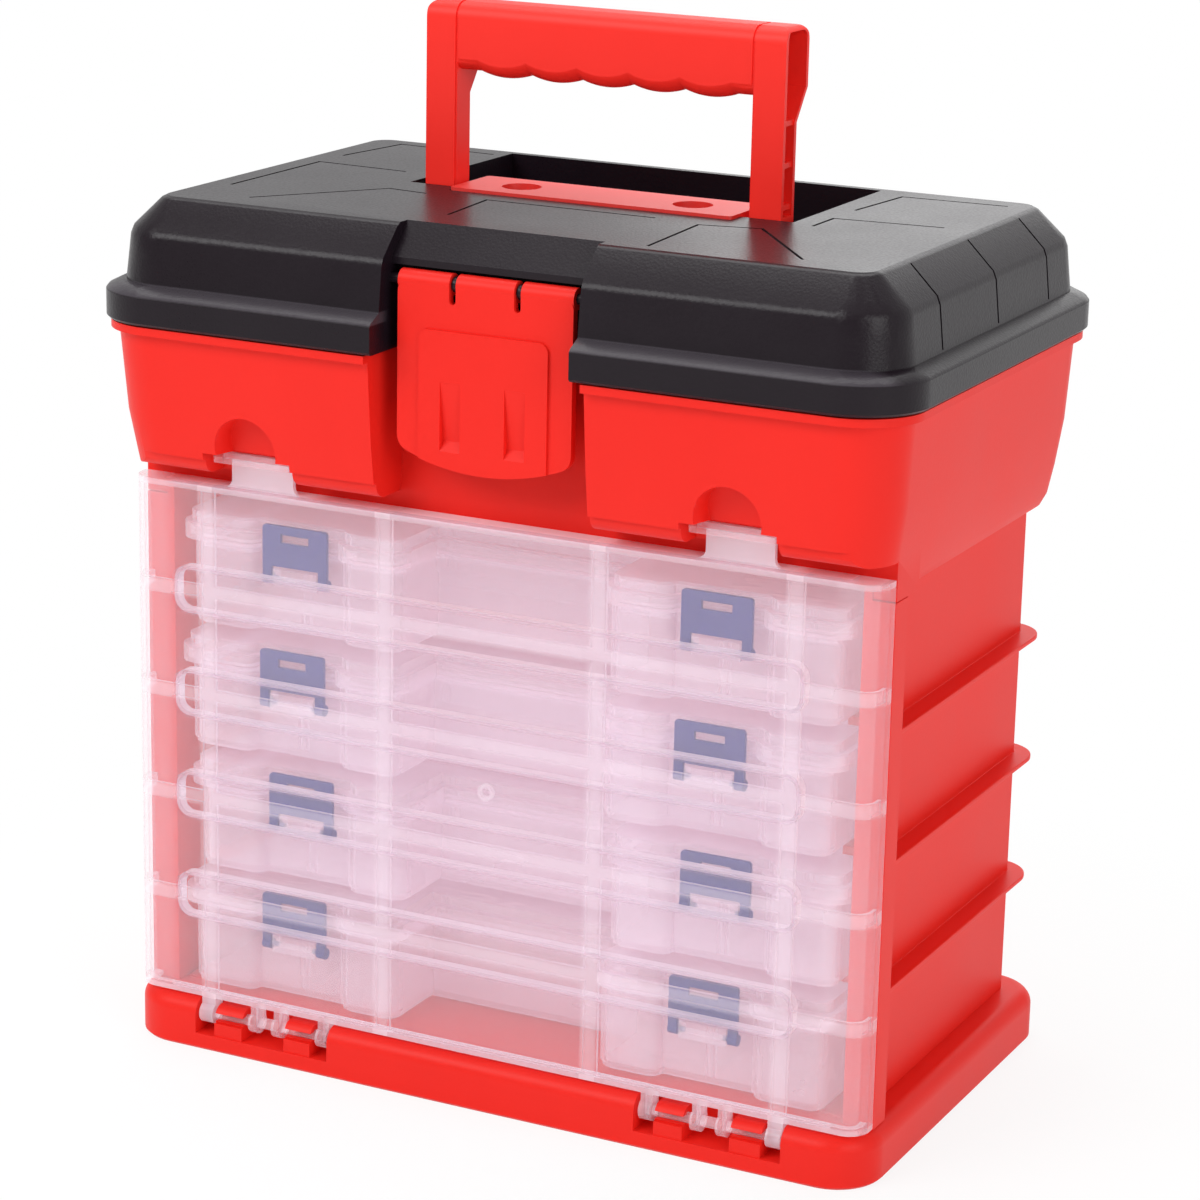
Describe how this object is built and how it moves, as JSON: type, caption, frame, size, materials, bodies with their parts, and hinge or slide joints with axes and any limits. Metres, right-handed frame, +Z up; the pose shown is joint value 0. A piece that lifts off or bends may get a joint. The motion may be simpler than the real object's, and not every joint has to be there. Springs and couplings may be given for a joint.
{
  "type": "fishing tackle box",
  "caption": "Rack tackle box: clear organiser boxes slide out of a cabinet behind a drop-down clear door, with a lidded tub and a folding carry handle on top.",
  "frame": {"origin": "middle of the base's footprint on the floor", "axes": "+X to the right as seen from the front, -Y out of the front, +Z up"},
  "size_m": [0.272, 0.1803, 0.3333],
  "materials": {
    "red_plastic": "satin moulded",
    "black_plastic": "fine grain",
    "clear_plastic": "clear, slightly milky",
    "blue_plastic": "satin moulded",
    "steel": "plain zinc plated"
  },
  "bodies": {
    "cabinet": {"base": "red_plastic", "left_panel": "red_plastic", "right_panel": "red_plastic", "back_panel": "red_plastic", "tub": "red_plastic"},
    "lid": {"lid": "black_plastic", "handle_bracket": "red_plastic", "bracket_screws": "steel"},
    "handle": {"handle": "red_plastic"},
    "front_latch": {"front_latch": "red_plastic"},
    "door": {"door": "clear_plastic"},
    "box_1": {"box_1_tray": "clear_plastic", "box_1_lid": "clear_plastic", "box_1_dividers": "clear_plastic"},
    "box_1_latch_left": {"box_1_latch_left": "blue_plastic"},
    "box_1_latch_right": {"box_1_latch_right": "blue_plastic"},
    "box_2": {"box_2_tray": "clear_plastic", "box_2_lid": "clear_plastic", "box_2_dividers": "clear_plastic"},
    "box_2_latch_left": {"box_2_latch_left": "blue_plastic"},
    "box_2_latch_right": {"box_2_latch_right": "blue_plastic"},
    "box_3": {"box_3_tray": "clear_plastic", "box_3_lid": "clear_plastic", "box_3_dividers": "clear_plastic"},
    "box_3_latch_left": {"box_3_latch_left": "blue_plastic"},
    "box_3_latch_right": {"box_3_latch_right": "blue_plastic"},
    "box_4": {"box_4_tray": "clear_plastic", "box_4_lid": "clear_plastic", "box_4_dividers": "clear_plastic"},
    "box_4_latch_left": {"box_4_latch_left": "blue_plastic"},
    "box_4_latch_right": {"box_4_latch_right": "blue_plastic"}
  },
  "joints": [
    {"name": "lid_hinge", "type": "hinge", "parent": "cabinet", "child": "lid", "pos_m": [0, 0.0877, 0.2371], "axis": [-1, 0, 0], "range_deg": [0, 100]},
    {"name": "handle_fold", "type": "hinge", "parent": "lid", "child": "handle", "pos_m": [0, -0.00025, 0.2719], "axis": [-1, 0, 0], "range_deg": [0, 90]},
    {"name": "front_latch_hinge", "type": "hinge", "parent": "lid", "child": "front_latch", "pos_m": [0, -0.0753, 0.2601], "axis": [-1, 0, 0], "range_deg": [0, 100]},
    {"name": "door_hinge", "type": "hinge", "parent": "cabinet", "child": "door", "pos_m": [0, -0.073, 0.0118], "axis": [1, 0, 0], "range_deg": [0, 90]},
    {"name": "box_1_slide", "type": "slide", "parent": "cabinet", "child": "box_1", "axis": [0, -1, 0], "range_m": [0, 0.137]},
    {"name": "box_1_latch_left_hinge", "type": "hinge", "parent": "box_1", "child": "box_1_latch_left", "pos_m": [-0.0726, -0.0647, 0.1581], "axis": [1, 0, 0], "range_deg": [0, 91]},
    {"name": "box_1_latch_right_hinge", "type": "hinge", "parent": "box_1", "child": "box_1_latch_right", "pos_m": [0.0718, -0.0647, 0.1581], "axis": [1, 0, 0], "range_deg": [0, 91]},
    {"name": "box_2_slide", "type": "slide", "parent": "cabinet", "child": "box_2", "axis": [0, -1, 0], "range_m": [0, 0.137]},
    {"name": "box_2_latch_left_hinge", "type": "hinge", "parent": "box_2", "child": "box_2_latch_left", "pos_m": [-0.0737, -0.0647, 0.1175], "axis": [1, 0, 0], "range_deg": [0, 91]},
    {"name": "box_2_latch_right_hinge", "type": "hinge", "parent": "box_2", "child": "box_2_latch_right", "pos_m": [0.0707, -0.0647, 0.1175], "axis": [1, 0, 0], "range_deg": [0, 91]},
    {"name": "box_3_slide", "type": "slide", "parent": "cabinet", "child": "box_3", "axis": [0, -1, 0], "range_m": [0, 0.07]},
    {"name": "box_3_latch_left_hinge", "type": "hinge", "parent": "box_3", "child": "box_3_latch_left", "pos_m": [-0.0705, -0.0647, 0.0769], "axis": [1, 0, 0], "range_deg": [0, 91]},
    {"name": "box_3_latch_right_hinge", "type": "hinge", "parent": "box_3", "child": "box_3_latch_right", "pos_m": [0.0739, -0.0647, 0.0769], "axis": [1, 0, 0], "range_deg": [0, 91]},
    {"name": "box_4_slide", "type": "slide", "parent": "cabinet", "child": "box_4", "axis": [0, -1, 0], "range_m": [0, 0.016]},
    {"name": "box_4_latch_left_hinge", "type": "hinge", "parent": "box_4", "child": "box_4_latch_left", "pos_m": [-0.0732, -0.0647, 0.0363], "axis": [1, 0, 0], "range_deg": [0, 91]},
    {"name": "box_4_latch_right_hinge", "type": "hinge", "parent": "box_4", "child": "box_4_latch_right", "pos_m": [0.0712, -0.0647, 0.0363], "axis": [1, 0, 0], "range_deg": [0, 91]}
  ],
  "couplings": [
    {"joint": "box_1_slide", "follows": "door_hinge", "m_per_rad": 0.0866},
    {"joint": "box_1_latch_left_hinge", "follows": "door_hinge", "ratio": 1},
    {"joint": "box_1_latch_right_hinge", "follows": "door_hinge", "ratio": 1},
    {"joint": "box_2_slide", "follows": "door_hinge", "m_per_rad": 0.0866},
    {"joint": "box_2_latch_left_hinge", "follows": "door_hinge", "ratio": 1},
    {"joint": "box_2_latch_right_hinge", "follows": "door_hinge", "ratio": 1},
    {"joint": "box_3_slide", "follows": "door_hinge", "m_per_rad": 0.044},
    {"joint": "box_3_latch_left_hinge", "follows": "door_hinge", "ratio": 1},
    {"joint": "box_3_latch_right_hinge", "follows": "door_hinge", "ratio": 1},
    {"joint": "box_4_slide", "follows": "door_hinge", "m_per_rad": 0.01},
    {"joint": "box_4_latch_left_hinge", "follows": "door_hinge", "ratio": 1},
    {"joint": "box_4_latch_right_hinge", "follows": "door_hinge", "ratio": 1}
  ]
}
